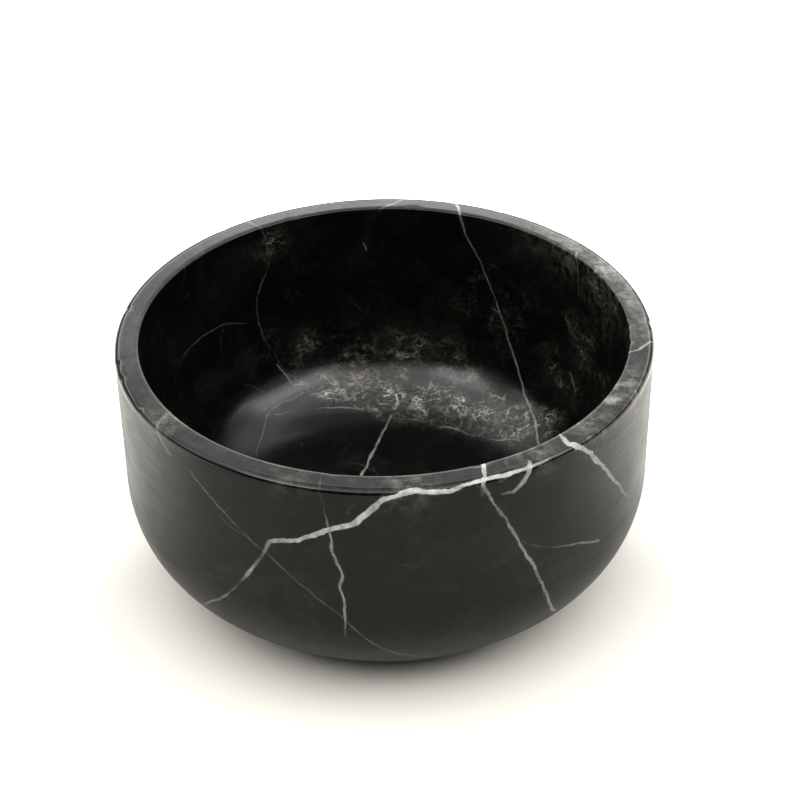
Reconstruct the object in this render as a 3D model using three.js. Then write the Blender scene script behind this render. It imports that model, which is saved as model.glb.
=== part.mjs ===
// Black marble shaving bowl on four self-adhesive felt pads.
// Millimetres, +Z up. The origin is on the bowl's axis, in the plane that the pads stand on.
import * as THREE from "three";

// Stone bowl, turned from one block
const BOWL_DIAMETER = 127; // outside, at the rim
const BOWL_HEIGHT = 63.5; // stone only, from the ground base to the rim
const WALL_THICKNESS = 6; // at the rim
const FLOOR_THICKNESS = 8.5; // at the axis
const OUTER_DRAFT = 0.45; // how much the outside leans in between the rim and the heel
const INNER_DRAFT = 0.8; // how much the inside leans in between the rim and the inner heel
const OUTER_HEEL_RADIUS = 28.5; // the arc between the side and the base
const INNER_HEEL_RADIUS = 25; // the arc between the inner wall and the floor
const RIM_OUTER_ROUNDING = 1.6;
const RIM_INNER_ROUNDING = 0.6;

// Felt pads and the adhesive discs that hold them to the base
const PAD_COUNT = 4;
const PAD_DIAMETER = 14;
const FELT_THICKNESS = 2.2;
const FELT_EDGE_ROUNDING = 0.5;
const ADHESIVE_THICKNESS = 0.4;
const ADHESIVE_INSET = 0.3; // the adhesive stops short of the felt's edge
const PAD_TO_BASE_EDGE = 3.5; // from a pad's edge to the edge of the flat base
const SEAT_GAP = 0.2; // between the stone, the adhesive and the felt
const FIRST_PAD_ANGLE = Math.PI / PAD_COUNT;

// Smoothness of the turned faces
const BOWL_SEGMENTS = 72;
const PAD_SEGMENTS = 32;
const HEEL_STEPS = 9;
const ROUNDING_STEPS = 3;

// Places worked out from the sizes above
const bowlRadius = BOWL_DIAMETER / 2;
const boreRadius = bowlRadius - WALL_THICKNESS;
const padRadius = PAD_DIAMETER / 2;
const baseFlatRadius = bowlRadius - OUTER_DRAFT - OUTER_HEEL_RADIUS;
const floorFlatRadius = boreRadius - INNER_DRAFT - INNER_HEEL_RADIUS;
const padCircleRadius = baseFlatRadius - PAD_TO_BASE_EDGE - padRadius;
const adhesiveBottom = FELT_THICKNESS + SEAT_GAP;
const baseHeight = adhesiveBottom + ADHESIVE_THICKNESS + SEAT_GAP;
const rimHeight = baseHeight + BOWL_HEIGHT;
const floorHeight = baseHeight + FLOOR_THICKNESS;

const marble = new THREE.MeshStandardMaterial({ color: 0x2b2c29, roughness: 0.32, metalness: 0 });
const felt = new THREE.MeshStandardMaterial({ color: 0x241f1b, roughness: 0.95, metalness: 0 });
const adhesive = new THREE.MeshStandardMaterial({ color: 0xd8d2c4, roughness: 0.6, metalness: 0 });

// Points of a circular arc in the (radius, height) plane, both ends included.
function arc(centreRadius, centreHeight, radius, startAngle, endAngle, steps) {
  const points = [];
  for (let i = 0; i <= steps; i += 1) {
    const angle = startAngle + ((endAngle - startAngle) * i) / steps;
    const x = centreRadius + radius * Math.cos(angle);
    const y = centreHeight + radius * Math.sin(angle);
    points.push(new THREE.Vector2(x, y));
  }
  return points;
}

// A profile of (radius, height) points turned about the vertical axis.
function turned(name, profile, segments, material) {
  const geometry = new THREE.LatheGeometry(profile, segments);
  geometry.rotateX(Math.PI / 2);
  const mesh = new THREE.Mesh(geometry, material);
  mesh.name = name;
  return mesh;
}

// The bowl: flat base, rounded heel, nearly upright side, flat rim with broken edges,
// and the same shape again inside, down to a flat floor.
function stoneBowl() {
  const quarter = Math.PI / 2;
  const profile = [
    new THREE.Vector2(0, baseHeight),
    ...arc(baseFlatRadius, baseHeight + OUTER_HEEL_RADIUS, OUTER_HEEL_RADIUS, -quarter, 0, HEEL_STEPS),
    ...arc(bowlRadius - RIM_OUTER_ROUNDING, rimHeight - RIM_OUTER_ROUNDING, RIM_OUTER_ROUNDING,
      0, quarter, ROUNDING_STEPS),
    ...arc(boreRadius + RIM_INNER_ROUNDING, rimHeight - RIM_INNER_ROUNDING, RIM_INNER_ROUNDING,
      quarter, 2 * quarter, ROUNDING_STEPS),
    ...arc(floorFlatRadius, floorHeight + INNER_HEEL_RADIUS, INNER_HEEL_RADIUS, 0, -quarter, HEEL_STEPS),
    new THREE.Vector2(0, floorHeight),
  ];
  return turned("stone_bowl", profile, BOWL_SEGMENTS, marble);
}

// A round felt pad with soft edges, standing on the ground plane.
function feltPad(name) {
  const quarter = Math.PI / 2;
  const edgeCentre = padRadius - FELT_EDGE_ROUNDING;
  const profile = [
    new THREE.Vector2(0, 0),
    ...arc(edgeCentre, FELT_EDGE_ROUNDING, FELT_EDGE_ROUNDING, -quarter, 0, ROUNDING_STEPS),
    new THREE.Vector2(padRadius, FELT_THICKNESS),
    new THREE.Vector2(0, FELT_THICKNESS),
  ];
  return turned(name, profile, PAD_SEGMENTS, felt);
}

// The thin disc of adhesive between a pad and the base.
function adhesiveDisc(name) {
  const radius = padRadius - ADHESIVE_INSET;
  const geometry = new THREE.CylinderGeometry(radius, radius, ADHESIVE_THICKNESS, PAD_SEGMENTS);
  geometry.rotateX(Math.PI / 2);
  const mesh = new THREE.Mesh(geometry, adhesive);
  mesh.name = name;
  mesh.position.z = adhesiveBottom + ADHESIVE_THICKNESS / 2;
  return mesh;
}

// Every pad with its adhesive disc, evenly spaced round the base.
function padSet() {
  const set = new THREE.Group();
  for (let i = 0; i < PAD_COUNT; i += 1) {
    const angle = FIRST_PAD_ANGLE + (2 * Math.PI * i) / PAD_COUNT;
    const place = new THREE.Group();
    place.position.set(padCircleRadius * Math.cos(angle), padCircleRadius * Math.sin(angle), 0);
    place.add(feltPad(`felt_pad_${i + 1}`));
    place.add(adhesiveDisc(`pad_adhesive_${i + 1}`));
    set.add(place);
  }
  return set;
}

const shavingBowl = new THREE.Group();
shavingBowl.add(stoneBowl());
shavingBowl.add(padSet());

export default shavingBowl;
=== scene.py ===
"""Black marble shaving bowl on four felt pads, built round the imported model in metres, +Z up."""
import logging
import math
from dataclasses import dataclass, field
from enum import Enum
from functools import partial

import bpy
import numpy as np
from mathutils import Matrix, Vector


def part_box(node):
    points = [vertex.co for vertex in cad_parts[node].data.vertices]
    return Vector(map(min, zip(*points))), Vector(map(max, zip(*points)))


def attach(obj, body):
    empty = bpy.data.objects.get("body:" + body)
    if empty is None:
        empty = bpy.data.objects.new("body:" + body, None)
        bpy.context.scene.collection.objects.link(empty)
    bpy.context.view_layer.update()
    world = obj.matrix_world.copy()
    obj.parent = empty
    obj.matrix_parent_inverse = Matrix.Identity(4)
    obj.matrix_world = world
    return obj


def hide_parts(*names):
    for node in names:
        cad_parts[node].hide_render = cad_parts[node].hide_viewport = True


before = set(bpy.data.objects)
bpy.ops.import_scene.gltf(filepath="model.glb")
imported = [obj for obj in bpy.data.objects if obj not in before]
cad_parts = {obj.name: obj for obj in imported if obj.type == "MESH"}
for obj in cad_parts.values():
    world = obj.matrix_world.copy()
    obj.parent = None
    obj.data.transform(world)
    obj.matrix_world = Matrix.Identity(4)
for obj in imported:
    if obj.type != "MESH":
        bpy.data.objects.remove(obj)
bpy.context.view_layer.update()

MM = 0.001
BODY = "root"
Socket = bpy.types.NodeSocket
Pair = tuple[float, float]

# Where the Mix node keeps its factor and its two colours, and how it is set to mix colours
FACTOR, COLOUR_A, COLOUR_B = 0, 6, 7
AS_COLOUR = {"output": 2, "data_type": "RGBA"}
log = logging.getLogger("shaving_bowl")


# ---------------------------------------------------------------- shared helpers

def linear_colour(code: str) -> tuple[float, float, float, float]:
    """Turns an sRGB hex colour into Blender's linear RGBA.

    Args:
        code: Six hex digits, such as "2b2c29".

    Returns:
        Red, green and blue from 0 to 1, and an alpha of 1.
    """
    channels = [int(code[i:i + 2], 16) / 255 for i in (0, 2, 4)]
    linear = [c / 12.92 if c <= 0.04045 else ((c + 0.055) / 1.055) ** 2.4 for c in channels]
    return (*linear, 1.0)


def pattern_scale(size_mm: float) -> float:
    """The scale of a texture on metre coordinates whose features are size_mm across."""
    return 1.0 / (size_mm * MM)


def smooth_step(low: float, high: float, values: np.ndarray) -> np.ndarray:
    """Rises from 0 at low to 1 at high along 3t^2 - 2t^3; low may be above high."""
    t = np.clip((values - low) / (high - low), 0.0, 1.0)
    return t * t * (3.0 - 2.0 * t)


def fill_inputs(node: bpy.types.Node, inputs: dict) -> None:
    """Gives a node's inputs their values, their sRGB hex colours or the sockets that feed them."""
    for key, value in inputs.items():
        if isinstance(value, Socket):
            node.id_data.links.new(value, node.inputs[key])
        elif isinstance(value, str):
            node.inputs[key].default_value = linear_colour(value)
        else:
            node.inputs[key].default_value = value


def add_node(tree: bpy.types.NodeTree, kind: str, inputs: dict | None = None,
             output: int | str = 0, **settings) -> Socket:
    """Adds a node with its settings and links.

    Args:
        tree: The node tree that the node goes into.
        kind: The node's type name, without the ShaderNode that it starts with.
        inputs: Input name or number to what fill_inputs gives it.
        output: The output that is wanted.
        **settings: The node's own properties.

    Returns:
        The wanted output socket.
    """
    node = tree.nodes.new("ShaderNode" + kind)
    for name, value in settings.items():
        setattr(node, name, value)
    fill_inputs(node, inputs or {})
    return node.outputs[output]


class Painting:
    """A material under way: its main shader, joined to the output, and the object's coordinates."""

    def __init__(self, name: str) -> None:
        """Makes the material, with nothing on its shader yet.

        Args:
            name: The material's name.
        """
        self.material = bpy.data.materials.new(name)
        self.material.use_nodes = True
        tree = self.material.node_tree
        tree.nodes.clear()
        self.add = partial(add_node, tree)
        shader = self.add("BsdfPrincipled")
        self.shader = shader.node
        fill_inputs(tree.nodes.new("ShaderNodeOutputMaterial"), {"Surface": shader})
        self.place = self.add("TexCoord", output="Object")

    def blotches(self, size: float, detail: float, roughness: float, span: Pair, levels: Pair = (0.0, 1.0),
                 place: Socket | None = None) -> Socket:
        """Soft blotches: noise with one span of its values stretched over the wanted levels.

        Args:
            size: Size of a blotch in mm.
            detail: How many finer octaves break its edge.
            roughness: How strong those are.
            span: The noise's values that become the two levels.
            levels: The values at the two ends.
            place: The coordinates, the object's own if none are given.

        Returns:
            The blotches.
        """
        noise = self.add("TexNoise", {"Vector": place or self.place, "Scale": pattern_scale(size),
                                      "Detail": detail, "Roughness": roughness})
        return self.add("MapRange", {"Value": noise, "From Min": span[0], "From Max": span[1],
                                     "To Min": levels[0], "To Max": levels[1]})


def vertex_points(piece: bpy.types.Object) -> np.ndarray:
    """Reads where a piece's vertices are.

    Args:
        piece: The piece.

    Returns:
        Their places in mm, one row each.
    """
    points = np.empty(len(piece.data.vertices) * 3)
    piece.data.vertices.foreach_get("co", points)
    return points.reshape(-1, 3) / MM


def turned_mesh(name: str, radii: np.ndarray, heights: np.ndarray,
                azimuths: np.ndarray) -> bpy.types.Object:
    """Makes a closed turned mesh from rings, whose first and last rings are single points on the axis.

    A point of ring j at azimuth a lies at (x, y, z) = (radius sin a, -radius cos a, height), so azimuth 0
    is the front, -Y, and azimuth grows towards +X. Rings run up the outside, so faces point outwards.

    Args:
        name: The object's name.
        radii: Radius in metres, rings by azimuths; the first and last rows are poles.
        heights: Height in metres, rings by azimuths.
        azimuths: The azimuth of each column in radians, evenly round the circle.

    Returns:
        The object, smooth shaded, with its place in its mesh.
    """
    rings, columns = radii.shape
    xs = radii * np.sin(azimuths)
    ys = -radii * np.cos(azimuths)
    inner = np.stack([xs, ys, heights], axis=-1)[1:-1].reshape(-1, 3)
    poles = np.array([[0.0, 0.0, heights[0].mean()], [0.0, 0.0, heights[-1].mean()]])
    points = np.vstack([inner, poles])
    ring = np.arange(rings - 3)[:, None] * columns
    here = np.arange(columns)
    beside = (here + 1) % columns
    quads = np.stack([ring + here, ring + beside, ring + columns + beside, ring + columns + here], axis=-1)
    last_ring = (rings - 3) * columns
    first_pole = np.full(columns, len(inner))
    start_fan = np.stack([first_pole, beside, here], axis=-1)
    end_fan = np.stack([first_pole + 1, last_ring + here, last_ring + beside], axis=-1)
    faces = quads.reshape(-1, 4).tolist() + start_fan.tolist() + end_fan.tolist()
    mesh = bpy.data.meshes.new(name)
    mesh.from_pydata(points, [], faces)
    mesh.shade_smooth()
    mesh.update()
    piece = bpy.data.objects.new(name, mesh)
    bpy.context.scene.collection.objects.link(piece)
    return piece


def arc_points(centre: Pair, radius: float, start: float, end: float, steps: int) -> np.ndarray:
    """Points of a circular arc in the (radius, height) plane.

    Args:
        centre: The arc's centre.
        radius: Its radius.
        start: First angle in degrees.
        end: Last angle in degrees.
        steps: Number of steps between them.

    Returns:
        The points, one more than steps.
    """
    angles = np.radians(np.linspace(start, end, steps + 1))
    return np.stack([centre[0] + radius * np.cos(angles), centre[1] + radius * np.sin(angles)], axis=-1)


def line_points(start: Pair, end: Pair, steps: int) -> np.ndarray:
    """Points evenly along a straight line in the (radius, height) plane, one more than steps."""
    return np.linspace(start, end, steps + 1)


# ---------------------------------------------------------------- the stone bowl's shape

@dataclass(frozen=True)
class BowlProfile:
    """Half section of the bowl in millimetres: radius against height above the ground.

    Distance along it is counted from the middle of the rim, negative down the outside and positive
    down the inside. Each class field is a size that the turner would set.
    """
    radius: float
    base: float
    rim: float
    wall: float = 6.0
    floor: float = 8.5
    outer_draft: float = 0.45
    inner_draft: float = 0.8
    outer_heel: float = 28.5
    inner_heel: float = 25.0
    outer_rounding: float = 1.6
    inner_rounding: float = 0.6

    @property
    def bore(self) -> float:
        """Radius of the opening at the rim."""
        return self.radius - self.wall

    @property
    def base_flat(self) -> float:
        """Radius of the flat that the pads are stuck to."""
        return self.radius - self.outer_draft - self.outer_heel

    @property
    def floor_flat(self) -> float:
        """Radius of the flat floor inside."""
        return self.bore - self.inner_draft - self.inner_heel

    def rings(self) -> tuple[np.ndarray, np.ndarray, np.ndarray]:
        """Steps along the section, close together where it bends sharply.

        Returns:
            Radius, height and distance from the middle of the rim of each ring, from the middle of
            the base up the outside and down the inside to the middle of the floor.
        """
        floor_height = self.base + self.floor
        sections = [
            line_points((0.0, self.base), (self.base_flat, self.base), 16),
            arc_points((self.base_flat, self.base + self.outer_heel), self.outer_heel, -90, 0, 43),
            line_points((self.radius - self.outer_draft, self.base + self.outer_heel),
                        (self.radius, self.rim - self.outer_rounding), 35),
            arc_points((self.radius - self.outer_rounding, self.rim - self.outer_rounding),
                       self.outer_rounding, 0, 90, 8),
            line_points((self.radius - self.outer_rounding, self.rim),
                        (self.bore + self.inner_rounding, self.rim), 6),
            arc_points((self.bore + self.inner_rounding, self.rim - self.inner_rounding),
                       self.inner_rounding, 90, 180, 5),
            line_points((self.bore, self.rim - self.inner_rounding),
                        (self.bore - self.inner_draft, floor_height + self.inner_heel), 31),
            arc_points((self.floor_flat, floor_height + self.inner_heel), self.inner_heel, 0, -90, 37),
            line_points((self.floor_flat, floor_height), (0.0, floor_height), 24),
        ]
        points = np.vstack([sections[0]] + [section[1:] for section in sections[1:]])
        steps = np.hypot(*np.diff(points, axis=0).T)
        along = np.concatenate([[0.0], np.cumsum(steps)])
        on_rim = points[:, 1] >= self.rim - 1e-6
        middle = 0.5 * (along[on_rim].min() + along[on_rim].max())
        return points[:, 0], points[:, 1], along - middle


class Reach(Enum):
    """How far a vein's sheet goes into the stone."""
    ONE_FACE = 3.4
    THROUGH_THE_WALL = 14.0


@dataclass(frozen=True)
class Vein:
    """A thin sheet of calcite, given by the line where it meets the surface.

    Attributes:
        route: (azimuth in degrees, distance along the section in mm) at each bend.
        widths: Full width in mm, spread evenly from the route's first end to its last.
        strengths: How white it is, from 0 to 1, spread in the same way.
        reach: Whether it shows on one face or on both faces of the wall.
    """
    route: tuple[Pair, ...]
    widths: tuple[float, ...]
    strengths: tuple[float, ...]
    reach: Reach = Reach.ONE_FACE


@dataclass(frozen=True)
class Patch:
    """A soft-edged patch of cracked stone round a point of the surface.

    Attributes:
        azimuth: The point's azimuth in degrees.
        distance: Its distance along the section in mm.
        radius: The patch's radius in mm.
        cracked: How cracked its middle is, from 0 to 1.
        milky: How much pale calcite clouds it, from 0 to 1.
    """
    azimuth: float
    distance: float
    radius: float
    cracked: float
    milky: float = 0.0


# Bends stand where a vein turns, to the whole degree and millimetre.
VEINS = (
    # the widest one: up the left of the front, a flat step, then up to the rim and along its outer edge
    Vein(((-50, -54), (-46, -52), (-36, -41), (-31, -34)), (0.5, 0.6, 0.7, 0.5), (0.45, 0.7, 0.6, 0.3)),
    Vein(((-32, -35), (-24, -20)), (0.6, 0.9, 0.8, 1.0), (0.4, 0.85, 0.5, 0.8)),
    Vein(((-24, -20), (-18, -18), (-12, -14), (-7, -12), (-1, -5), (5, -3), (12, -4), (20, -3), (35, -3)),
         (1.1, 1.4, 1.5, 1.5, 1.6, 1.3, 1.0, 1.0, 0.8, 0.5),
         (0.85, 1.0, 1.0, 1.0, 1.0, 1.0, 1.0, 0.95, 0.8, 0.5)),
    Vein(((30, -2), (28, -6), (26, -8), (23, -8)), (1.1, 1.3, 1.2, 0.5), (0.85, 0.8, 0.8, 0.5)),
    # a straight grey hairline across the front from upper left to the base
    Vein(((-43, -9), (-30, -20), (-14, -34), (1, -52), (9, -57)),
         (0.5, 0.4, 0.4, 0.45, 0.45, 0.5), (0.5, 0.44, 0.46, 0.48, 0.55, 0.65)),
    # two steep ones that cross the rim and run down the front
    Vein(((-14, 4), (-12, -12), (-11, -20)),
         (0.5, 0.5, 0.4, 0.6, 0.8), (0.4, 0.4, 0.35, 0.7, 0.8), Reach.THROUGH_THE_WALL),
    Vein(((-11, -20), (-9, -26), (-10, -30), (-9, -35), (-9, -46)),
         (0.7, 0.6, 0.7, 0.6, 0.4), (0.75, 0.75, 0.8, 0.75, 0.3)),
    Vein(((21, 6), (21, 2), (19, -4)), (0.9, 1.1, 1.0), (0.8, 0.9, 0.85), Reach.THROUGH_THE_WALL),
    Vein(((19, -4), (24, -15), (31, -31), (36, -45), (40, -52)),
         (0.9, 0.75, 0.75, 0.9, 0.7, 0.8, 0.8), (0.7, 0.62, 0.66, 0.8, 0.64, 0.74, 0.8)),
    Vein(((20, -24), (28, -23), (35, -28), (50, -35)),
         (0.3, 0.5, 0.4, 0.6, 0.6), (0.1, 0.35, 0.4, 0.62, 0.62)),
    # a broad one over the right of the rim, thinning down the side
    Vein(((42, 5), (40, -2), (50, -14), (63, -32)),
         (0.9, 1.4, 1.3, 1.1, 0.8, 0.7, 0.5), (0.6, 0.85, 0.85, 0.75, 0.68, 0.6, 0.4),
         Reach.THROUGH_THE_WALL),
    Vein(((-57, 3), (-54, -3), (-49, -8)), (0.8, 1.0, 0.8), (0.35, 0.5, 0.5)),
    # inside: the long one down the back right of the wall
    Vein(((163, -4), (158, 8), (154, 15), (145, 36), (136, 48), (123, 56), (115, 60)),
         (0.8, 0.6, 0.5, 0.55, 0.6, 0.7, 0.8, 0.6), (0.85, 0.6, 0.52, 0.54, 0.58, 0.66, 0.75, 0.5),
         Reach.THROUGH_THE_WALL),
    Vein(((-112, 30), (-118, 26), (-134, 25), (-141, 28)), (0.45, 0.5, 0.45), (0.35, 0.52, 0.4)),
    Vein(((-147, -2), (-150, 12), (-145, 24), (-145, 29), (-148, 38), (-154, 52)),
         (0.5, 0.5, 0.6, 0.5, 0.4), (0.5, 0.45, 0.35, 0.5, 0.38, 0.5, 0.3, 0.4, 0.3), Reach.THROUGH_THE_WALL),
    Vein(((-154, 52), (-140, 54), (-126, 62)), (0.4, 0.4, 0.4), (0.45, 0.5, 0.4)),
    Vein(((178, 62), (-176, 72), (-166, 82), (-150, 88), (-95, 90), (-72, 78)),
         (0.6, 0.8, 0.7, 0.6, 0.5), (0.6, 0.75, 0.72, 0.7, 0.4)),
    # the broken pale line along the lower edge of the cracked band, and three short marks in the band
    Vein(((-138, 54), (-154, 57), (-169, 59), (-185, 63), (-201, 64), (-225, 62), (-232, 59)),
         (0.3, 0.4, 0.3, 0.5, 0.4, 0.5, 0.3, 0.6, 0.4, 0.5, 0.5),
         (0.2, 0.5, 0.25, 0.4, 0.6, 0.55, 0.25, 0.3, 0.5, 0.25, 0.62, 0.5, 0.3, 0.62, 0.5)),
    Vein(((-156, 53), (-163, 53), (-169, 56), (-192, 58)), (0.3, 0.4, 0.3, 0.4), (0.5, 0.55, 0.3, 0.5, 0.25)),
    Vein(((-149, 43), (-152, 50)), (0.4, 0.5, 0.4), (0.66, 0.6, 0.4)),
    Vein(((154, 48), (159, 59)), (0.5, 0.4, 0.5, 0.4), (0.5, 0.3, 0.5, 0.3)),
    # short marks on the inner wall: one down from the right of the rim, and three flecks
    Vein(((125, 1), (123, 4), (122, 15)), (0.7, 0.5, 0.4, 0.4), (0.6, 0.55, 0.4, 0.25)),
    Vein(((-175, 12), (-176, 14)), (0.4, 0.5), (0.5, 0.6)),
    Vein(((123, 36), (120, 39)), (0.5, 0.6, 0.4), (0.6, 0.55, 0.5)),
    Vein(((150, 30), (151, 34)), (0.3, 0.3), (0.45, 0.4)),
    # rim marks at the back
    Vein(((174, -3), (177, 0), (-179, 3)), (0.7, 0.8, 0.6), (0.5, 0.6, 0.4)),
    Vein(((84, -3), (80, 0), (78, 3)), (0.6, 0.7, 0.5), (0.6, 0.7, 0.5)),
    # the far side, which the same sheets and a few others cross
    Vein(((98, -4), (104, -12), (109, -20), (118, -26), (124, -36), (133, -44), (141, -56)),
         (0.6, 1.1, 1.4, 1.2, 0.8, 0.5), (0.7, 0.95, 1.0, 0.95, 0.8, 0.5)),
    Vein(((-168, -2), (-163, -12), (-160, -24), (-152, -33), (-150, -46), (-141, -58)),
         (0.6, 0.7, 0.8, 0.7, 0.4), (0.6, 0.75, 0.8, 0.75, 0.5)),
    Vein(((-96, -6), (-108, -17), (-119, -27), (-131, -36), (-140, -47)),
         (0.4, 0.4, 0.45, 0.4), (0.4, 0.5, 0.5, 0.35)),
    Vein(((-118, -3), (-121, -12), (-116, -21), (-117, -30), (-108, -39), (-105, -50)),
         (0.6, 0.8, 0.7, 0.6, 0.4), (0.6, 0.8, 0.75, 0.6, 0.4)),
)

# the clouded and cracked stone: a band round the back of the inner heel, the right of the inner wall, a
# strip on the left of the back wall, the rim, most of all on its right, and two faint ones outside
PATCHES = (
    Patch(-154, 51, 5, 0.7), Patch(-163, 53, 6, 1.0), Patch(-173, 54, 6, 1.0), Patch(178, 56, 7, 1.0),
    Patch(167, 57, 7, 1.0), Patch(156, 57, 7, 1.0), Patch(145, 57, 7, 1.0), Patch(134, 55, 7, 1.0),
    Patch(124, 51, 6, 0.7), Patch(-172, 44, 9, 0.54), Patch(173, 45, 9, 0.54), Patch(160, 46, 8, 0.48),
    Patch(-158, 42, 8, 0.48), Patch(154, 48, 2.2, 0.9, 1.0),
    Patch(112, 12, 10, 0.48), Patch(120, 25, 11, 0.5), Patch(126, 38, 10, 0.5), Patch(108, 30, 9, 0.36),
    Patch(-150, 8, 7, 0.5), Patch(-155, 20, 7, 0.42), Patch(-147, 36, 7, 0.42), Patch(-146, 52, 5, 0.5),
    Patch(116, -1, 8, 0.7, 0.8), Patch(104, 0, 7, 0.4, 0.7), Patch(128, 1, 7, 0.4, 0.6),
    Patch(125, 1, 1.8, 0.6, 1.4), Patch(59, 0.5, 2.2, 0.5, 1.2), Patch(138, 0, 6, 0.3, 0.4),
    Patch(90, -1, 7, 0.3, 0.5), Patch(66, 0, 7, 0.3, 0.6), Patch(49, 1, 6, 0.3, 0.6),
    Patch(33, 1, 5, 0.2, 0.45), Patch(4, -1, 6, 0.3, 0.4), Patch(-54, 0, 5, 0.2, 0.4),
    Patch(-20, 0, 5, 0.2, 0.25), Patch(-100, -30, 12, 0.3), Patch(150, -28, 14, 0.5),
)


@dataclass(frozen=True)
class Stretch:
    """A stretch of the section: it fades in over the first pair of distances and out over the second."""
    fade_in: Pair
    fade_out: Pair

    def weight(self, distance: np.ndarray) -> np.ndarray:
        """1 inside the stretch and 0 outside it, at distances along the section in mm."""
        return smooth_step(*self.fade_in, distance) * smooth_step(*self.fade_out, distance)


@dataclass
class MarbleBowl:
    """The stone bowl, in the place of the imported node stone_bowl.

    Lengths are in mm. Nicks are worn into the two edges of the rim, chip_stretch times as long round the
    rim as across it. A vein claims the points up to claim away from it; its strength fades out over
    end_fade past its ends, between the two distances of side_fade beside it, and over depth_fade at the
    end of its reach.
    """
    node: str = "stone_bowl"
    rim_radius: float = 62.0
    rim_edges: Pair = (-3.0, 2.8)
    columns: int = 472
    waviness: float = 0.10
    chip_count: int = 26
    chip_depth: float = 0.28
    chip_stretch: float = 1.6
    finish_seed: int = 41
    vein_seed: int = 7
    crookedness: float = 0.035
    claim: float = 6.0
    unclaimed: float = 9.0
    end_fade: float = 1.5
    side_fade: Pair = (4.0, 2.8)
    depth_fade: float = 1.0
    spare_depth: float = 2.0
    inside_polish: float = 0.68
    rim_milk: float = 0.07
    hand_rubbed: Stretch = Stretch((-84, -70), (88, 72))
    mirror_rim: Stretch = Stretch((-5.0, -3.9), (3.8, 2.8))
    flat_rim: Stretch = Stretch((-2.6, -1.6), (3.0, 2.2))
    polish_starts: Pair = (-5.6, -4.2)
    layers: list[str] = field(default_factory=list)

    def profile(self) -> BowlProfile:
        """The bowl's section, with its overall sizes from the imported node."""
        low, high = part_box(self.node)
        return BowlProfile(radius=(high.x - low.x) / 2 / MM, base=low.z / MM, rim=high.z / MM)

    def hand_finish(self, azimuth: np.ndarray, distance: np.ndarray) -> np.ndarray:
        """How far the hand-rubbed surface stands off the true turned one.

        It is a sum of slow waves round the bowl and along its section, cosine of
        (waves x azimuth + turn + distance / length), fading out on the flat base and the flat floor,
        less a small scoop, depth x exp(-(gap / size)^2), for each worn nick on the rim's edges.

        Args:
            azimuth: Azimuths in radians, one per column.
            distance: Distances along the section in mm, one per ring.

        Returns:
            Millimetres outwards, rings by columns.
        """
        rng = np.random.default_rng(self.finish_seed)
        stand = np.zeros((len(distance), len(azimuth)))
        for waves in (2, 3, 5, 7, 11):
            turn = rng.uniform(0, 2 * math.pi)
            length = rng.uniform(9, 22)
            stand += np.cos(waves * azimuth[None, :] + turn + distance[:, None] / length) / waves
        stand *= self.waviness * self.hand_rubbed.weight(distance)[:, None]
        for _ in range(self.chip_count):
            at = rng.uniform(-math.pi, math.pi)
            edge = rng.choice(self.rim_edges, p=[0.7, 0.3]) + rng.uniform(-0.3, 0.3)
            size = rng.uniform(0.5, 1.1)
            depth = self.chip_depth * rng.uniform(0.3, 1.0)
            gap = np.angle(np.exp(1j * (azimuth - at))) * self.rim_radius
            near = (gap[None, :] / (self.chip_stretch * size)) ** 2 + ((distance[:, None] - edge) / size) ** 2
            stand -= depth * np.exp(-near)
        return stand

    def build(self) -> bpy.types.Object:
        """Makes the bowl's mesh, marks its veins and dresses it.

        Returns:
            The finished piece, riding the body.
        """
        profile = self.profile()
        radius, height, distance = profile.rings()
        azimuth = np.linspace(-math.pi, math.pi, self.columns, endpoint=False)
        slope = np.gradient(np.stack([radius, height]), axis=1)
        slope /= np.hypot(*slope)
        normal_radius, normal_height = slope[1], -slope[0]
        stand = self.hand_finish(azimuth, distance)
        radii = (radius[:, None] + stand * normal_radius[:, None]) * MM
        heights = (height[:, None] + stand * normal_height[:, None]) * MM
        radii[[0, -1]] = 0.0
        bowl = turned_mesh("marble_bowl", radii, heights, azimuth)
        self.mark_veins(bowl, profile)
        self.mark_regions(bowl, profile)
        bowl.data.materials.append(BlackMarble(tuple(self.layers)).material())
        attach(bowl, BODY)
        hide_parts(self.node)
        return bowl

    def surface_points(self, profile: BowlProfile, route: np.ndarray) -> tuple[np.ndarray, np.ndarray]:
        """Places (azimuth in degrees, distance in mm) points on the true turned surface.

        Args:
            profile: The bowl's section.
            route: The points.

        Returns:
            The points and the outward normals there, in mm.
        """
        radius, height, distance = profile.rings()
        here_radius = np.interp(route[:, 1], distance, radius)
        here_height = np.interp(route[:, 1], distance, height)
        slope_radius = np.interp(route[:, 1], distance, np.gradient(radius, distance))
        slope_height = np.interp(route[:, 1], distance, np.gradient(height, distance))
        angle = np.radians(route[:, 0])
        points = np.stack([here_radius * np.sin(angle), -here_radius * np.cos(angle), here_height], axis=-1)
        normals = np.stack([slope_height * np.sin(angle), -slope_height * np.cos(angle), -slope_radius],
                           axis=-1)
        return points, normals / np.linalg.norm(normals, axis=1, keepdims=True)

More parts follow.
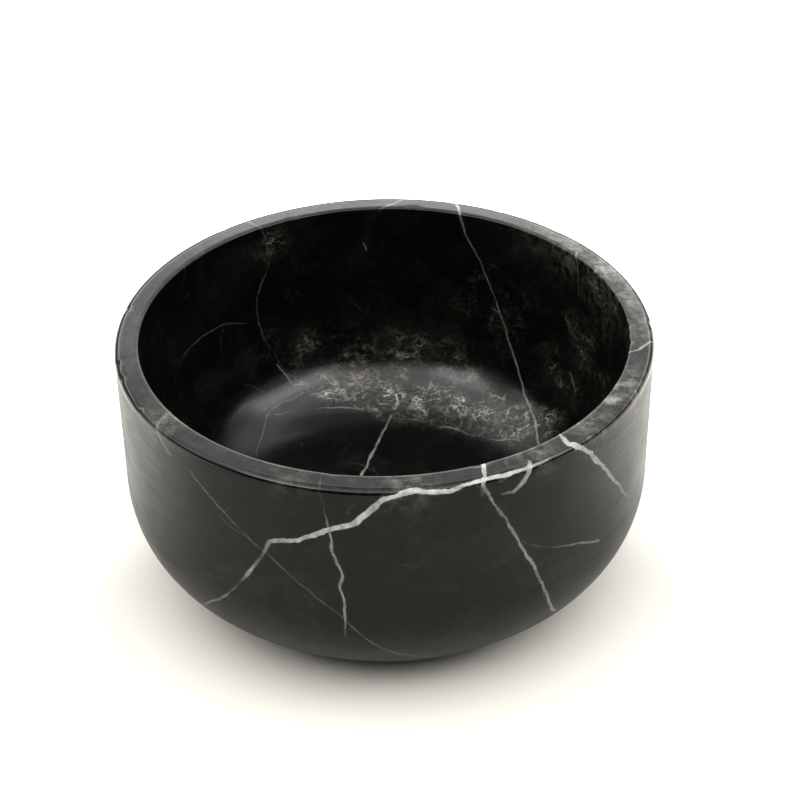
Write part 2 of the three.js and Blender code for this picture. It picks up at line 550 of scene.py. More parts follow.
    def jagged(self, route: np.ndarray, rng: np.random.Generator) -> np.ndarray:
        """Breaks each straight run of a route into smaller crooked ones.

        Three times over, a point is put at the middle of each run and pushed aside by a random share
        of the run's length, as a crack wanders.

        Args:
            route: (azimuth in degrees, distance in mm) points.
            rng: The source of the pushes.

        Returns:
            The longer route.
        """
        mm_per_degree = 1.1
        flat = np.stack([np.unwrap(route[:, 0], period=360) * mm_per_degree, route[:, 1]], axis=-1)
        for _ in range(3):
            run = np.diff(flat, axis=0)
            aside = np.stack([-run[:, 1], run[:, 0]], axis=-1)
            push = rng.uniform(-self.crookedness, self.crookedness, (len(run), 1))
            middle = (flat[:-1] + flat[1:]) / 2 + aside * push
            longer = np.empty((len(flat) + len(middle), 2))
            longer[0::2] = flat
            longer[1::2] = middle
            flat = longer
        flat[:, 0] /= mm_per_degree
        return flat

    def mark_veins(self, bowl: bpy.types.Object, profile: BowlProfile) -> None:
        """Writes, for each vertex, its place across the nearest vein.

        Each layer is one vector attribute: signed distance across the vein in mm, the vein's half
        width there in mm, and its strength. A vein claims points further out than its strength
        reaches, and two veins that claim the same point go into separate layers.

        Args:
            bowl: The bowl's object.
            profile: Its section.
        """
        points = vertex_points(bowl)
        rng = np.random.default_rng(self.vein_seed)
        layers: list[np.ndarray] = []
        for vein in VEINS:
            route = self.jagged(np.array(vein.route, float), rng)
            marks, claimed = self.across_vein(points, vein, *self.surface_points(profile, route))
            free = [layer for layer in layers if not (layer[claimed, 0] < self.unclaimed).any()]
            if not free:
                free = [np.tile([self.unclaimed, 0.1, 0.0], (len(points), 1))]
                layers += free
            free[0][claimed] = marks[claimed]
        for number, marks in enumerate(layers):
            self.layers.append(f"vein_layer_{number}")
            attribute = bowl.data.attributes.new(self.layers[-1], "FLOAT_VECTOR", "POINT")
            attribute.data.foreach_set("vector", marks.astype(np.float32).ravel())
        log.info("%d veins in %d layers", len(VEINS), len(layers))

    def across_vein(self, points: np.ndarray, vein: Vein, line: np.ndarray,
                    normals: np.ndarray) -> tuple[np.ndarray, np.ndarray]:
        """Measures every point against one vein.

        The nearest place on the vein's line is found first. The offset from it is split into the part
        along the surface normal there, which is how deep the point lies, and the rest, whose length is
        the distance. Its sign is that of the offset along the surface normal crossed with the line's
        direction. Strength fades past the ends, to the sides, and beyond the vein's reach.

        Args:
            points: Points in mm.
            vein: The vein.
            line: Points of its line on the surface, in mm.
            normals: Surface normals at those points.

        Returns:
            Signed distance, half width and strength for each point, and which points the vein claims.
        """
        marks = np.zeros((len(points), 3))
        claimed = np.zeros(len(points), bool)
        margin = self.claim + vein.reach.value
        near = np.all((points > line.min(0) - margin) & (points < line.max(0) + margin), axis=1)
        local = points[near]
        start, run = line[:-1], np.diff(line, axis=0)
        length = np.linalg.norm(run, axis=1)
        best = np.full(len(local), np.inf)
        found = np.zeros((len(local), 4))
        travelled = np.concatenate([[0.0], np.cumsum(length)])
        for k in range(len(run)):
            offset = local - start[k]
            along = offset @ run[k] / length[k] ** 2
            held = np.clip(along, 0.0, 1.0)
            apart = offset - held[:, None] * run[k]
            gap = np.linalg.norm(apart, axis=1)
            closer = gap < best
            side = np.cross(normals[k], run[k])
            side /= np.linalg.norm(side)
            past = np.zeros(len(local))
            if k == 0:
                past += np.clip(-along, 0, None) * length[k]
            if k == len(run) - 1:
                past += np.clip(along - 1, 0, None) * length[k]
            deep = np.abs(apart @ normals[k])
            across = np.sqrt(np.clip(gap ** 2 - deep ** 2, 0.0, None)) * np.where(apart @ side < 0, -1.0, 1.0)
            place = (travelled[k] + held * length[k]) / travelled[-1]
            values = np.stack([across, place, past, deep], axis=-1)
            best = np.where(closer, gap, best)
            found[closer] = values[closer]
        across, place, past, deep = found.T
        width = np.interp(place, np.linspace(0, 1, len(vein.widths)), vein.widths)
        strength = np.interp(place, np.linspace(0, 1, len(vein.strengths)), vein.strengths)
        strength *= smooth_step(self.end_fade, 0.0, past)
        strength *= smooth_step(*self.side_fade, np.abs(across))
        strength *= smooth_step(vein.reach.value, vein.reach.value - self.depth_fade, deep)
        marks[near] = np.stack([across, width / 2, strength], axis=-1)
        claimed[near] = (np.abs(across) < self.claim) & (deep < vein.reach.value + self.spare_depth)
        return marks, claimed

    def mark_regions(self, bowl: bpy.types.Object, profile: BowlProfile) -> None:
        """Writes each point's distance along the section, and where the stone is polished and cracked.

        polished is 0 outside, 1 on the rim and inside_polish inside. cracked and milky are the largest of
        amount x exp(-(gap / radius)^2) over the patches, and the flat rim is a little milky.

        Args:
            bowl: The bowl's object.
            profile: Its section.
        """
        points = vertex_points(bowl)
        along = profile.rings()[2]
        distance = np.concatenate([np.repeat(along[1:-1], self.columns), along[[0, -1]]])
        middles = np.array([(patch.azimuth, patch.distance) for patch in PATCHES], float)
        centres, _ = self.surface_points(profile, middles)
        cracked, milky = np.zeros(len(points)), np.zeros(len(points))
        for patch, centre in zip(PATCHES, centres):
            near = np.exp(-(np.linalg.norm(points - centre, axis=1) / patch.radius) ** 2)
            cracked = np.maximum(cracked, patch.cracked * near)
            milky = np.maximum(milky, patch.milky * near)
        polished = self.inside_polish * smooth_step(*self.polish_starts, distance)
        polished += (1 - self.inside_polish) * self.mirror_rim.weight(distance)
        milky = np.maximum(milky, self.rim_milk * self.flat_rim.weight(distance))
        marks = {"along_section": distance, "polished": polished, "cracked": cracked, "milky": milky}
        for name, values in marks.items():
            attribute = bowl.data.attributes.new(name, "FLOAT", "POINT")
            attribute.data.foreach_set("value", values.astype(np.float32))


# ---------------------------------------------------------------- finishes

class CrackPattern(Enum):
    """What a set of cracks follows."""
    CELL_BORDERS = "the borders of bent cells"
    FLOW_LINES = "the lines along which a bent noise passes through its middle value"


@dataclass(frozen=True)
class CrackSet:
    """One set of fine cracks, present only here and there.

    Attributes:
        pattern: What the cracks follow.
        cells: Size of the cells, or of the noise's features, in mm along X, Y and Z.
        bend_size: Size in mm of the noise that bends them.
        bend: Twice the furthest that they are bent aside, in mm.
        width: Width of a crack in mm; flow lines vary about it.
        gate: Size in mm of the places where the cracks are present.
        share: How much of the stone holds them, from 0 to 1.
        amount: How light they are, from 0 to 1.
        spread: How much of them stays outside the cracked patches, from 0 to 1.
    """
    pattern: CrackPattern
    cells: tuple[float, float, float]
    bend_size: float
    bend: float
    width: float
    gate: float
    share: float
    amount: float
    spread: float


@dataclass(frozen=True)
class BlackMarble:
    """Black marble, turned on a lathe, honed outside and polished inside.

    It is near-black with faint grey-green clouds, white and grey calcite veins that wander and vary
    in width, nets of fine pale cracks in the clouded patches, and specks. Outside it is satin with
    faint turning marks, and inside it is glossy enough to mirror the light. Sizes and the height of
    the relief are in mm; vein_sink and turning_relief are shares of that height. The higher vein_hold
    is, the fewer gaps a vein has.
    """
    layers: tuple[str, ...]
    ground: str = "0f0f0e"
    cloud: str = "2c2d28"
    calcite: str = "989894"
    milk: str = "75756c"
    fleck: str = "4c4d42"
    stain: str = "7b7460"
    crack: str = "a3a297"
    cloud_size: float = 13.0
    grain_size: float = 1.1
    turning_width: float = 0.5
    turning_length: float = 14.0
    honed: float = 0.38
    mirror: float = 0.10
    refraction: float = 1.42
    patch_cloud: float = 0.24
    vein_hold: float = 1.5
    vein_roughness: float = 0.08
    vein_sink: float = 0.5
    turning_relief: float = 0.8
    relief: float = 0.03
    crack_sets: tuple[CrackSet, ...] = (
        CrackSet(CrackPattern.CELL_BORDERS, (26.0, 22.0, 24.0), 31.2, 14.0, 0.16, 12.0, 0.3, 0.22, 1.0),
        CrackSet(CrackPattern.CELL_BORDERS, (4.6, 2.8, 2.2), 5.52, 3.4, 0.18, 4.0, 0.55, 0.5, 0.0),
        CrackSet(CrackPattern.CELL_BORDERS, (1.5, 1.0, 0.9), 1.8, 1.0, 0.08, 2.0, 0.5, 0.22, 0.02),
        CrackSet(CrackPattern.FLOW_LINES, (8.5, 4.0, 3.2), 5.1, 6.8, 0.25, 4.0, 0.88, 0.9, 0.0),
        CrackSet(CrackPattern.FLOW_LINES, (3.6, 2.0, 1.7), 2.16, 2.88, 0.18, 2.8, 0.7, 0.62, 0.0),
    )

    def material(self) -> bpy.types.Material:
        """Builds the stone's material.

        Returns:
            The material.
        """
        stone = Painting("black_marble_turned_and_polished")
        patch = self.broken_patches(stone)
        vein, halo = self.veins(stone)
        cracks = self.cracks(stone, patch)
        grain = stone.add("TexNoise", {"Vector": stone.place, "Scale": pattern_scale(self.grain_size),
                                       "Detail": 4.0, "Roughness": 0.65})
        ground = self.ground_colour(stone, patch, halo, grain)
        stained = stone.blotches(9.0, 2.0, 0.5, (0.54, 0.68))
        filling = stone.add("Mix", {FACTOR: stained, COLOUR_A: self.crack, COLOUR_B: self.stain}, **AS_COLOUR)
        pale = stone.add("Mix", {FACTOR: cracks, COLOUR_A: ground, COLOUR_B: filling}, **AS_COLOUR)
        tone = stone.blotches(2.6, 6.0, 0.72, (0.36, 0.62), (0.58, 1.16))
        calcite = stone.add("VectorMath", {0: linear_colour(self.calcite)[:3], 3: tone}, operation="SCALE")
        colour = stone.add("Mix", {FACTOR: vein, COLOUR_A: pale, COLOUR_B: calcite}, **AS_COLOUR)
        fill_inputs(stone.shader, {"Base Color": colour, "IOR": self.refraction})
        self.surface(stone, vein, grain)
        return stone.material

    def broken_patches(self, stone: Painting) -> Socket:
        """How cracked the stone is: the marked patches, broken up so that their outlines wander.

        Args:
            stone: The material under way.

        Returns:
            How cracked each point is, from 0 to a little over 1.
        """
        marked = stone.add("Attribute", output="Fac", attribute_name="cracked")
        uneven = stone.blotches(9.0, 4.0, 0.65, (0.36, 0.64), (0.25, 1.4))
        strong = stone.add("MapRange", {"Value": marked, "From Min": 0.6, "From Max": 0.9})
        uneven = stone.add("Mix", {FACTOR: strong, 2: uneven, 3: 1.0})
        return stone.add("Math", {0: marked, 1: uneven}, operation="MULTIPLY")

    def ground_colour(self, stone: Painting, patch: Socket, halo: Socket, grain: Socket) -> Socket:
        """Mixes the stone's black with grey-green clouds, milky curds where marked, and flecks in patches.

        Args:
            stone: The material under way.
            patch: How cracked the stone is.
            halo: The paleness beside the veins.
            grain: The stone's fine grain.

        Returns:
            The stone's colour.
        """
        cloud = stone.add("TexNoise", {"Vector": stone.place, "Scale": pattern_scale(self.cloud_size),
                                       "Detail": 8.0, "Roughness": 0.68, "Distortion": 0.5})
        raised = stone.add("Math", {0: patch, 1: self.patch_cloud, 2: cloud}, operation="MULTIPLY_ADD")
        clouds = stone.add("MapRange", {"Value": raised, "From Min": 0.5, "From Max": 0.95})
        lift = stone.add("Math", {0: clouds, 1: halo}, operation="MAXIMUM")
        colour = stone.add("Mix", {FACTOR: lift, COLOUR_A: self.ground, COLOUR_B: self.cloud}, **AS_COLOUR)
        milky = stone.add("Attribute", output="Fac", attribute_name="milky")
        curds = stone.blotches(3.2, 6.0, 0.7, (0.42, 0.64))
        flecks = stone.blotches(1.6, 6.0, 0.8, (0.5, 0.72))
        for spots, where, pale in ((curds, milky, self.milk), (flecks, patch, self.fleck)):
            spots = stone.add("Math", {0: spots, 1: where}, operation="MULTIPLY")
            colour = stone.add("Mix", {FACTOR: spots, COLOUR_A: colour, COLOUR_B: pale}, **AS_COLOUR)
        speckle = stone.add("MapRange", {"Value": grain, "From Min": 0.3, "From Max": 0.7,
                                         "To Min": 0.7, "To Max": 1.3})
        return stone.add("VectorMath", {0: colour, 3: speckle}, operation="SCALE")

    def veins(self, stone: Painting) -> tuple[Socket, Socket]:
        """Draws the marked veins with a wandering line, a varying width and gaps where they are weak.

        Args:
            stone: The material under way.

        Returns:
            How much of each point is calcite, and the faint grey halo round it, both 0 to 1.
        """
        wander = 0.0
        for size, amount in ((7.0, 0.9), (2.2, 0.5), (0.7, 0.2)):
            noise = stone.add("TexNoise", {"Vector": stone.place, "Detail": 1.0,
                                           "Scale": pattern_scale(size)})
            wander = stone.add("Math", {0: noise, 1: amount, 2: wander}, operation="MULTIPLY_ADD")
        # together the three noises average half of 0.9 + 0.5 + 0.2
        wander = stone.add("Math", {0: wander, 1: 0.8}, operation="SUBTRACT")
        swell = stone.blotches(3.5, 2.0, 0.5, (0.3, 0.7), (0.6, 1.2))
        breaks = stone.add("TexNoise", {"Vector": stone.place, "Scale": pattern_scale(2.4), "Detail": 3.0,
                                        "Roughness": 0.65})
        core, glow = 0.0, 0.0
        for layer in self.layers:
            marks = stone.add("Attribute", output="Vector", attribute_name=layer)
            across = stone.add("SeparateXYZ", {0: marks})
            half_width, strength = across.node.outputs[1], across.node.outputs[2]
            across = stone.add("Math", {0: across, 1: wander}, operation="ADD")
            across = stone.add("Math", {0: across}, operation="ABSOLUTE")
            half = stone.add("Math", {0: half_width, 1: swell}, operation="MULTIPLY")
            inside = stone.add("Math", {0: half, 1: across}, operation="SUBTRACT")
            there = stone.add("Math", {0: strength, 1: self.vein_hold, 2: breaks},
                              operation="MULTIPLY_ADD")
            there = stone.add("MapRange", {"Value": there, "From Min": 0.8, "From Max": 1.3})
            tone = stone.add("Math", {0: strength, 1: 2.0}, operation="POWER")
            tone = stone.add("Math", {0: tone, 1: there}, operation="MULTIPLY")
            line = stone.add("MapRange", {"Value": inside, "From Min": -0.12, "From Max": 0.12},
                             interpolation_type="SMOOTHSTEP")
            line = stone.add("Math", {0: line, 1: tone}, operation="MULTIPLY")
            core = stone.add("Math", {0: line, 1: core}, operation="MAXIMUM")
            near = stone.add("MapRange", {"Value": inside, "From Min": -0.8, "From Max": 0.1, "To Max": 0.6},
                             interpolation_type="SMOOTHERSTEP")
            near = stone.add("Math", {0: near, 1: tone}, operation="MULTIPLY")
            glow = stone.add("Math", {0: near, 1: glow}, operation="MAXIMUM")
        return core, glow

    def cracks(self, stone: Painting, patch: Socket) -> Socket:
        """Draws every set of fine cracks, mostly inside the cracked patches.

        Args:
            stone: The material under way.
            patch: How cracked the stone is.

        Returns:
            How much of each point is a crack, from 0 to 1.
        """
        total = 0.0
        for cracks in self.crack_sets:
            bent = self.bent(stone, cracks)
            line = self.crack_lines(stone, cracks, bent)
            low = 0.68 - 0.36 * cracks.share
            gate = stone.blotches(cracks.gate, 3.0, 0.6, (low, low + 0.22), (0.0, cracks.amount), bent)
            line = stone.add("Math", {0: line, 1: gate}, operation="MULTIPLY")
            reach = stone.add("MapRange", {"Value": patch, "From Min": 0.2, "From Max": 0.95,
                                           "To Min": cracks.spread})
            line = stone.add("Math", {0: line, 1: reach}, operation="MULTIPLY")
            total = stone.add("Math", {0: line, 1: total}, operation="MAXIMUM")
        return total

    def bent(self, stone: Painting, cracks: CrackSet) -> Socket:
        """Pushes the object's coordinates aside by a soft noise, up to half of the set's bend.

        Args:
            stone: The material under way.
            cracks: The set's sizes.

        Returns:
            The bent coordinates.
        """
        bend = stone.add("TexNoise", {"Vector": stone.place, "Scale": pattern_scale(cracks.bend_size),
                                      "Detail": 4.0, "Roughness": 0.6}, output="Color")
        bend = stone.add("VectorMath", {0: bend, 1: (0.5, 0.5, 0.5)}, operation="SUBTRACT")
        bend = stone.add("VectorMath", {0: bend, 3: cracks.bend * MM}, operation="SCALE")
        return stone.add("VectorMath", {0: stone.place, 1: bend}, operation="ADD")

    def crack_lines(self, stone: Painting, cracks: CrackSet, bent: Socket) -> Socket:
        """Draws one set's lines all over the stone.

        Args:
            stone: The material under way.
            cracks: The set's sizes.
            bent: The bent coordinates.

        Returns:
            1 on a line, 0 off it.
        """
        cell = stone.add("VectorMath", {0: bent, 1: [pattern_scale(size) for size in cracks.cells]},
                         operation="MULTIPLY")
        thin = cracks.width / (sum(cracks.cells) / 3)
        if cracks.pattern is CrackPattern.CELL_BORDERS:
            apart = stone.add("TexVoronoi", {"Vector": cell, "Scale": 1.0}, feature="DISTANCE_TO_EDGE")
        else:
            noise = stone.add("TexNoise", {"Vector": cell, "Scale": 1.0, "Detail": 2.0, "Roughness": 0.55})
            apart = stone.add("Math", {0: noise, 1: 0.5}, operation="SUBTRACT")
            apart = stone.add("Math", {0: apart}, operation="ABSOLUTE")
            thin = 0.5 * thin
        return stone.add("MapRange", {"Value": apart, "From Min": 0.2 * thin, "From Max": 1.4 * thin,
                                      "To Min": 1.0, "To Max": 0.0})

    def surface(self, stone: Painting, vein: Socket, grain: Socket) -> None:
        """Sets how glossy each part is and adds the fine relief.

        The turning marks are noise that is coarse round the bowl and fine along its section.

        Args:
            stone: The material under way.
            vein: How much of each point is calcite.
            grain: The stone's fine grain.
        """
        along = stone.add("Attribute", output="Fac", attribute_name="along_section")
        level = pattern_scale(self.turning_length)
        flat = stone.add("VectorMath", {0: stone.place, 1: (level, level, 0.0)}, operation="MULTIPLY")
        fine = stone.add("Math", {0: along, 1: 1.0 / self.turning_width}, operation="MULTIPLY")
        up = stone.add("CombineXYZ", {2: fine})
        spiral = stone.add("VectorMath", {0: flat, 1: up}, operation="ADD")
        turning = stone.add("TexNoise", {"Vector": spiral, "Scale": 1.0, "Detail": 3.0, "Roughness": 0.6})
        polished = stone.add("Attribute", output="Fac", attribute_name="polished")
        rough = stone.add("MapRange", {"Value": polished, "To Min": self.honed, "To Max": self.mirror})
        smear = stone.blotches(14.0, 5.0, 0.6, (0.3, 0.7), (-0.04, 0.04))
        rough = stone.add("Math", {0: rough, 1: smear}, operation="ADD")
        marks = stone.add("MapRange", {"Value": turning, "From Min": 0.3, "From Max": 0.7,
                                       "To Min": -0.05, "To Max": 0.05})
        rough = stone.add("Math", {0: rough, 1: marks}, operation="ADD")
        rough = stone.add("Math", {0: vein, 1: self.vein_roughness, 2: rough}, operation="MULTIPLY_ADD")
        sunk = stone.add("Math", {0: vein, 1: -self.vein_sink, 2: grain}, operation="MULTIPLY_ADD")
        relief = stone.add("Math", {0: turning, 1: self.turning_relief, 2: sunk}, operation="MULTIPLY_ADD")
        bump = stone.add("Bump", {"Strength": 0.3, "Distance": self.relief * MM, "Height": relief})
        fill_inputs(stone.shader, {"Roughness": rough, "Normal": bump})


@dataclass(frozen=True)
class PressedFelt:
    """Pressed wool felt, cut from sheet: dull, brown-black, with matted fibres and a soft fuzz."""
    dark: str = "17130f"
    light: str = "3d352c"
    fibre_size: float = 0.35
    fibre_relief: float = 0.12

    def material(self) -> bpy.types.Material:
        """Builds the felt's material.

        Returns:
            The material.
        """
        felt = Painting("pressed_wool_felt")
        bend = felt.add("TexNoise", {"Vector": felt.place, "Scale": pattern_scale(1.5), "Detail": 2.0},
                        output="Color")
        bend = felt.add("VectorMath", {0: bend, 3: 1.2 * MM}, operation="SCALE")
        moved = felt.add("VectorMath", {0: felt.place, 1: bend}, operation="ADD")
        fibres = felt.add("TexNoise", {"Vector": moved, "Scale": pattern_scale(self.fibre_size),
                                       "Detail": 5.0, "Roughness": 0.75})
        mixed = felt.add("MapRange", {"Value": fibres, "From Min": 0.35, "From Max": 0.7})
        colour = felt.add("Mix", {FACTOR: mixed, COLOUR_A: self.dark, COLOUR_B: self.light}, **AS_COLOUR)
        bump = felt.add("Bump", {"Strength": 0.8, "Distance": self.fibre_relief * MM, "Height": fibres})
        fill_inputs(felt.shader, {"Base Color": colour, "Roughness": 0.95, "Sheen Weight": 0.35,
                                  "Sheen Roughness": 0.5, "Normal": bump})
        return felt.material


@dataclass(frozen=True)
class AdhesiveFilm:
    """Acrylic adhesive film, die-cut: dull amber-white, with trapped bubbles and a slight ripple."""
    film: str = "cbbf9f"
    bubble: str = "e4dcc8"
    bubble_size: float = 1.1
    ripple_size: float = 2.0
    ripple_relief: float = 0.05

    def material(self) -> bpy.types.Material:
        """Builds the adhesive's material.

        Returns:
            The material.
        """
        film = Painting("acrylic_adhesive_film")
        bubbles = film.add("TexVoronoi", {"Vector": film.place, "Scale": pattern_scale(self.bubble_size)})
        bubbles = film.add("MapRange", {"Value": bubbles, "From Min": 0.1, "From Max": 0.35,
                                        "To Min": 1.0, "To Max": 0.0})
        colour = film.add("Mix", {FACTOR: bubbles, COLOUR_A: self.film, COLOUR_B: self.bubble}, **AS_COLOUR)
        ripple = film.add("TexNoise", {"Vector": film.place, "Scale": pattern_scale(self.ripple_size),
                                       "Detail": 3.0})
        rough = film.add("MapRange", {"Value": ripple, "To Min": 0.3, "To Max": 0.6})
        bump = film.add("Bump", {"Strength": 0.4, "Distance": self.ripple_relief * MM, "Height": ripple})
        fill_inputs(film.shader, {"Base Color": colour, "Roughness": rough, "Normal": bump})
        return film.material


# ---------------------------------------------------------------- pads and adhesive

@dataclass
class PadSet:
    """The felt pads and the adhesive discs that hold them to the base."""
    count: int = 4
    first_seed: int = 100
    columns: int = 96
    edge_rounding: float = 0.6
    raggedness: float = 0.12

    def build(self) -> list[bpy.types.Object]:
        """Makes every pad and dresses the adhesive discs.

        Returns:
            The felt pieces.
        """
        felt = PressedFelt().material()
        pads = [self.felt_pad(f"felt_pad_{k + 1}", felt, self.first_seed + k) for k in range(self.count)]
        adhesive = AdhesiveFilm().material()
        for k in range(self.count):
            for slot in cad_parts[f"pad_adhesive_{k + 1}"].material_slots:
                slot.link = "OBJECT"
                slot.material = adhesive
        return pads

    def felt_pad(self, node: str, felt: bpy.types.Material, seed: int) -> bpy.types.Object:
        """Makes one pad: a disc with soft edges and a slightly ragged, lumpy surface.

        Its section is a flat bottom, a rounded edge, an upright side and a flat top. The radius takes
        a sum of cosines of whole multiples of the azimuth, and so do the faces, by less.

        Args:
            node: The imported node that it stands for.
            felt: The felt's material.
            seed: The seed of its raggedness.

        Returns:
            The finished pad.
        """
        low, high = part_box(node)
        radius = (high.x - low.x) / 2 / MM
        thick = (high.z - low.z) / MM
        edge = self.edge_rounding
        section = np.vstack([
            line_points((0.0, 0.0), (radius - edge, 0.0), 8),
            arc_points((radius - edge, edge), edge, -90, 0, 5)[1:],
            line_points((radius, edge), (radius, thick - edge / 2), 3)[1:],
            arc_points((radius - edge / 2, thick - edge / 2), edge / 2, 0, 90, 3)[1:],
            line_points((radius - edge / 2, thick), (0.0, thick), 8)[1:],
        ])
        azimuth = np.linspace(-math.pi, math.pi, self.columns, endpoint=False)
        rng = np.random.default_rng(seed)
        lumps = np.zeros((len(section), self.columns))
        for waves in (3, 5, 9, 14, 23, 37):
            turn = rng.uniform(0, 2 * math.pi)
            lumps += np.cos(waves * azimuth[None, :] + turn + section[:, :1] * rng.uniform(0.5, 2.0)) / 6
        out = np.clip(section[:, 0] / radius, 0, 1)[:, None] ** 4
        radii = (section[:, :1] - self.raggedness * out * (1.0 + lumps)) * MM
        inset = np.where((section[:, 1] > 0) & (section[:, 1] < thick), 0.0, 0.03)[:, None]
        lean = np.where(section[:, 1] > thick / 2, -1.0, 1.0)[:, None]
        heights = (section[:, 1:] + lean * inset * np.abs(lumps)) * MM
        radii[[0, -1]] = 0.0
        piece = turned_mesh(node.replace("felt_pad", "wool_felt_pad"), radii, heights, azimuth)
        centre = (low + high) / 2
        piece.data.transform(Matrix.Translation(Vector((centre.x, centre.y, low.z))))
        piece.data.materials.append(felt)
        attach(piece, BODY)
        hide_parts(node)
        return piece


# ---------------------------------------------------------------- floor, light and camera

@dataclass(frozen=True)
class SoftBox:
    """A rectangular studio light that looks at the bowl."""
    name: str
    azimuth: float
    elevation: float
    distance: float
    width: float
    height: float
    radiance: float

    def build(self, target: Vector) -> None:
        """Adds the light, whose power is radiance x pi x area.

        Args:
            target: The point that it looks at, in metres.
        """
        light = bpy.data.lights.new(self.name, "AREA")
        light.shape = "RECTANGLE"
        light.size, light.size_y = self.width, self.height
        light.energy = self.radiance * math.pi * self.width * self.height
        lamp = bpy.data.objects.new(self.name, light)
        turn, rise = math.radians(self.azimuth), math.radians(self.elevation)
        away = Vector((math.sin(turn) * math.cos(rise), -math.cos(turn) * math.cos(rise), math.sin(rise)))
        lamp.location = target + away * self.distance
        lamp.rotation_euler = (-away).to_track_quat("-Z", "Y").to_euler()
        bpy.context.scene.collection.objects.link(lamp)


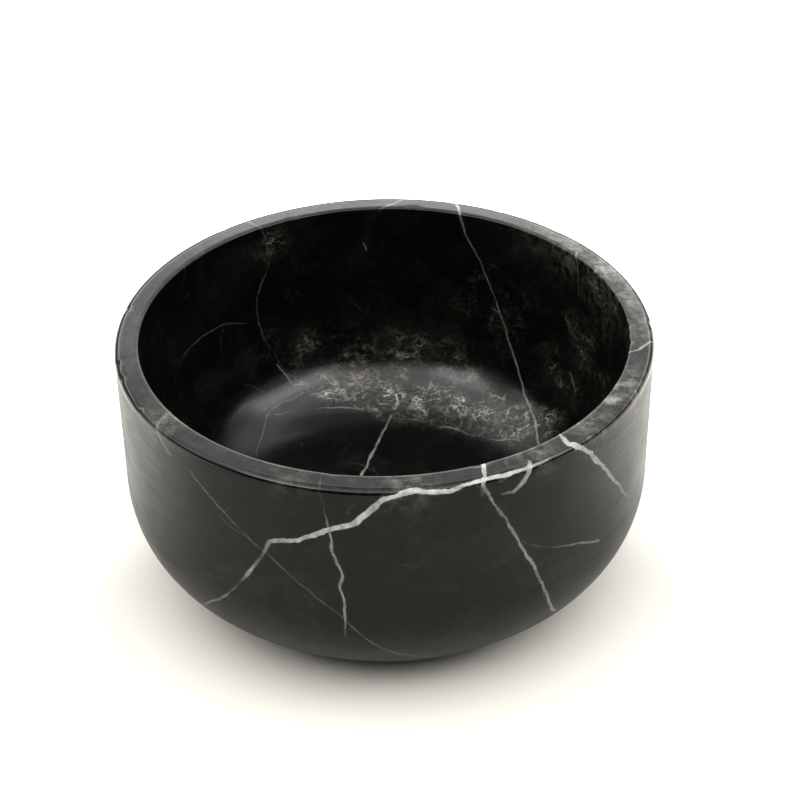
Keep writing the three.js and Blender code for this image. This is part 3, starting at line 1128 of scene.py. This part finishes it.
@dataclass(frozen=True)
class Studio:
    """A pale floor with painted shade in front of the bowl, in a white tent, with two soft lights, and no
    light from low in front.
    """
    floor_half: float = 2.5
    # painted shade and painted light: the floor's colour is grey in front of the bowl and near-white round
    # its sides and back
    floor_painted_shade: str = "c1bfb9"
    floor_painted_light: str = "faf8f2"
    shade_fade_start: float = 35.0
    shade_fade_end: float = 110.0
    low_walls: float = 0.6
    walls: float = 3.7
    ceiling: float = 1.4
    cove: float = 2.1
    roof: float = 0.8
    glow: str = "fff5ea"
    low_front: str = "2a1f18"
    boxes: tuple[SoftBox, ...] = (
        SoftBox("overhead_softbox", -3.0, 66.0, 0.83, 3.6, 0.96, 1.0),
        SoftBox("left_softbox", -47.0, 40.0, 1.0, 0.48, 0.22, 3.6),
        SoftBox("right_softbox", 56.0, 41.0, 1.0, 0.85, 0.25, 3.0),
    )

    def build(self, target: Vector) -> None:
        """Adds the floor, the tent and the lights.

        Args:
            target: The point that the lights look at, in metres.
        """
        self.floor()
        self.tent()
        for box in self.boxes:
            box.build(target)
        view = bpy.context.scene.view_settings
        view.view_transform = "Standard"
        view.look = "High Contrast"

    def floor(self) -> None:
        """Adds the floor, a square of matt background paper with painted shade: its colour is greyer in front
        of the bowl than round its sides and back, in place of light that falls unevenly.
        """
        half = self.floor_half
        mesh = bpy.data.meshes.new("floor")
        corners = [(-half, -half, 0), (half, -half, 0), (half, half, 0), (-half, half, 0)]
        mesh.from_pydata(corners, [], [(0, 1, 2, 3)])
        floor = bpy.data.objects.new("floor", mesh)
        bpy.context.scene.collection.objects.link(floor)
        paper = Painting("matt_background_paper_with_painted_shade")
        # painted shade: the paper's colour fades from grey in front of the bowl to near-white at its sides
        # and back, standing in for uneven light
        place = paper.add("SeparateXYZ", {0: paper.place})
        aside = paper.add("Math", {0: place}, operation="ABSOLUTE")
        behind = paper.add("Math", {0: aside, 1: 0.8, 2: place.node.outputs[1]}, operation="MULTIPLY_ADD")
        fade = paper.add("MapRange", {"Value": behind, "From Min": self.shade_fade_start * MM,
                                      "From Max": self.shade_fade_end * MM}, interpolation_type="SMOOTHSTEP")
        colour = paper.add("Mix", {FACTOR: fade, COLOUR_A: self.floor_painted_shade, COLOUR_B: self.floor_painted_light},
                           **AS_COLOUR)
        fill_inputs(paper.shader, {"Base Color": colour, "Roughness": 0.9, "Specular IOR Level": 0.1})
        mesh.materials.append(paper.material)

    def tent(self) -> None:
        """Lights the scene from a white tent.

        Its walls are dim and warm near the table, brightest at 29 degrees of elevation, and dimmer again
        above, up to a dim roof. Low in front, where the camera stands, it is dark and warm.
        """
        world = bpy.data.worlds.new("studio")
        bpy.context.scene.world = world
        world.use_nodes = True
        tree = world.node_tree
        tree.nodes.clear()
        add = partial(add_node, tree)
        way = add("TexCoord", output="Generated")
        across = add("SeparateXYZ", {0: way})
        ahead, up = across.node.outputs[1], across.node.outputs[2]
        strength = self.low_walls
        for low, high, above in ((0.30, 0.47, self.walls), (0.475, 0.56, self.ceiling),
                                 (0.62, 0.70, self.cove), (0.86, 0.94, self.roof)):
            share = add("MapRange", {"Value": up, "From Min": low, "From Max": high},
                        interpolation_type="SMOOTHSTEP")
            strength = add("Mix", {FACTOR: share, 2: strength, 3: above})
        front = add("MapRange", {"Value": ahead, "From Min": 0.0, "From Max": -0.35},
                    interpolation_type="SMOOTHSTEP")
        low = add("MapRange", {"Value": up, "From Min": 0.66, "From Max": 0.56},
                  interpolation_type="SMOOTHSTEP")
        dark = add("Math", {0: front, 1: low}, operation="MULTIPLY")
        warm = add("MapRange", {"Value": up, "From Min": 0.45, "From Max": 0.25})
        tint = add("Mix", {FACTOR: warm, COLOUR_A: "ffffff", COLOUR_B: self.glow}, **AS_COLOUR)
        light = add("VectorMath", {0: tint, 3: strength}, operation="SCALE")
        shade = add("Mix", {FACTOR: dark, COLOUR_A: light, COLOUR_B: self.low_front}, **AS_COLOUR)
        glow = add("Background", {"Color": shade, "Strength": 1.0})
        fill_inputs(tree.nodes.new("ShaderNodeOutputWorld"), {"Surface": glow})


@dataclass(frozen=True)
class ViewCamera:
    """The camera: in front of the bowl and above it, looking down into it."""
    distance: float = 0.550
    elevation: float = 32.82
    pitch: float = 34.54
    yaw: float = 0.44
    roll: float = -0.84
    focal_length: float = 105.03
    sensor: float = 36.0

    def build(self, rim_centre: Vector) -> None:
        """Places the camera by its distance and elevation from the rim's centre.

        Args:
            rim_centre: The middle of the rim, in metres.
        """
        rise, pitch, yaw, roll = (math.radians(a) for a in (self.elevation, self.pitch, self.yaw, self.roll))
        forward = Vector((math.sin(yaw) * math.cos(pitch), math.cos(yaw) * math.cos(pitch), -math.sin(pitch)))
        level = Vector((math.cos(yaw), -math.sin(yaw), 0.0))
        upright = level.cross(forward)
        right = math.cos(roll) * level + math.sin(roll) * upright
        up = math.cos(roll) * upright - math.sin(roll) * level
        data = bpy.data.cameras.new("view")
        data.lens = self.focal_length
        data.sensor_width = self.sensor
        data.clip_start = 0.01
        camera = bpy.data.objects.new("view", data)
        place = rim_centre + Vector((0.0, -math.cos(rise), math.sin(rise))) * self.distance
        turn = Matrix((right, up, -forward)).transposed().to_4x4()
        camera.matrix_world = Matrix.Translation(place) @ turn
        bpy.context.scene.collection.objects.link(camera)
        bpy.context.scene.camera = camera


def main() -> None:
    """Builds every piece in order and reports it."""
    logging.basicConfig(level=logging.INFO, format="%(name)s: %(message)s")
    low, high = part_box("stone_bowl")
    rim_centre = Vector((0.0, 0.0, high.z))
    ViewCamera().build(rim_centre)
    Studio().build(Vector((0.0, 0.0, (low.z + high.z) / 2)))
    log.info("camera, floor and lights are in place")
    bowl = MarbleBowl().build()
    log.info("%s has %d vertices", bowl.name, len(bowl.data.vertices))
    for pad in PadSet().build():
        log.info("%s has %d vertices", pad.name, len(pad.data.vertices))


if __name__ == "__main__":
    main()
